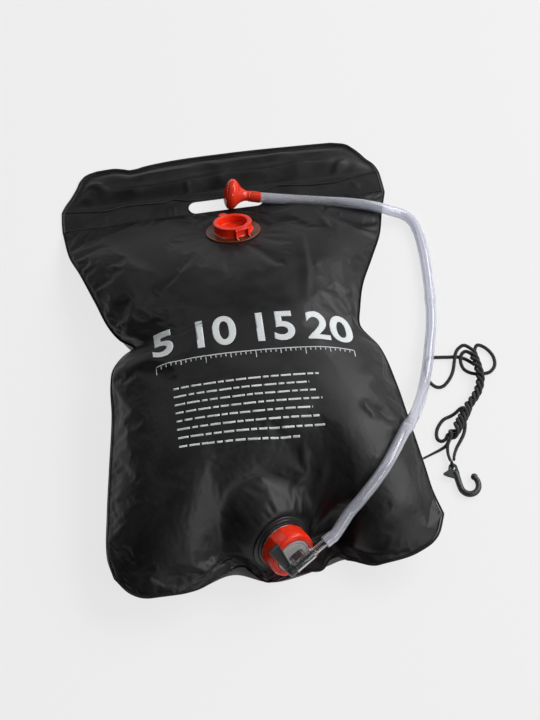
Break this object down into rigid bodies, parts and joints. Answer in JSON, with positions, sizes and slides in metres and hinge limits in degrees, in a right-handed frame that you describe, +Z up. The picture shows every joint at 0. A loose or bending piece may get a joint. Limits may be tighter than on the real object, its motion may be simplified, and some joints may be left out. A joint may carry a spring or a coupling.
{
  "type": "camp shower bag",
  "caption": "Black film water bag with a welded carrying header, hinged filler cap, screw outlet with a lever tap, clear hose, shower head, and hanging rope with a hook.",
  "frame": {"origin": "under the middle of the bag, on the ground it lies on", "axes": "+Z up, +Y towards the carrying header, +X to the right of the printed side"},
  "size_m": [0.4837, 0.6119, 0.0995],
  "materials": {
    "black_film": "black vinyl film, satin with soft wrinkles",
    "smoke_film": "smoky see-through vinyl film",
    "red_vinyl": "orange-red moulded vinyl, semi-gloss",
    "flange_vinyl": "thin red vinyl over black film",
    "black_moulding": "black moulded plastic, satin",
    "pale_washer": "pale sealing washer",
    "rubber_seal": "black rubber",
    "clear_plastic": "clear moulded plastic, slightly smoky",
    "clear_vinyl": "clear vinyl hose with a faint blue-violet tint",
    "black_cord": "black twisted nylon cord"
  },
  "bodies": {
    "root": {"bag_front": "black_film", "bag_rear": "smoke_film", "header": "black_film", "filler_flange": "flange_vinyl", "outlet_spud": "black_moulding", "outlet_washer": "pale_washer", "nut_gasket": "rubber_seal", "tap_body": "clear_plastic", "hose": "clear_vinyl", "head_bell": "red_vinyl", "head_rose": "red_vinyl", "rope_tail": "black_cord", "rope_loop": "black_cord", "hook": "black_moulding", "hook_knot": "black_cord"},
    "outlet_nut": {"outlet_nut": "red_vinyl"},
    "tap_lever": {"tap_lever": "black_moulding", "tap_plug": "black_moulding", "plug_ring_hub": "rubber_seal", "plug_ring_spout": "rubber_seal"},
    "filler_cap": {"filler_cap": "red_vinyl"}
  },
  "joints": [
    {"name": "cap_hinge", "type": "hinge", "parent": "root", "child": "filler_cap", "pos_m": [0.0104, 0.15213, 0.05436], "axis": [0.9397, 0.2991, -0.1658], "range_deg": [0, 160]},
    {"name": "tap_turn", "type": "hinge", "parent": "root", "child": "tap_lever", "pos_m": [0.00254, -0.29138, 0.0519], "axis": [0.8534, 0.4809, 0.2011], "range_deg": [0, 90]},
    {"name": "nut_turn", "type": "hinge", "parent": "root", "child": "outlet_nut", "pos_m": [-0.003, -0.2795, 0.047], "axis": [0.3959, -0.8489, 0.3502], "continuous": true}
  ]
}
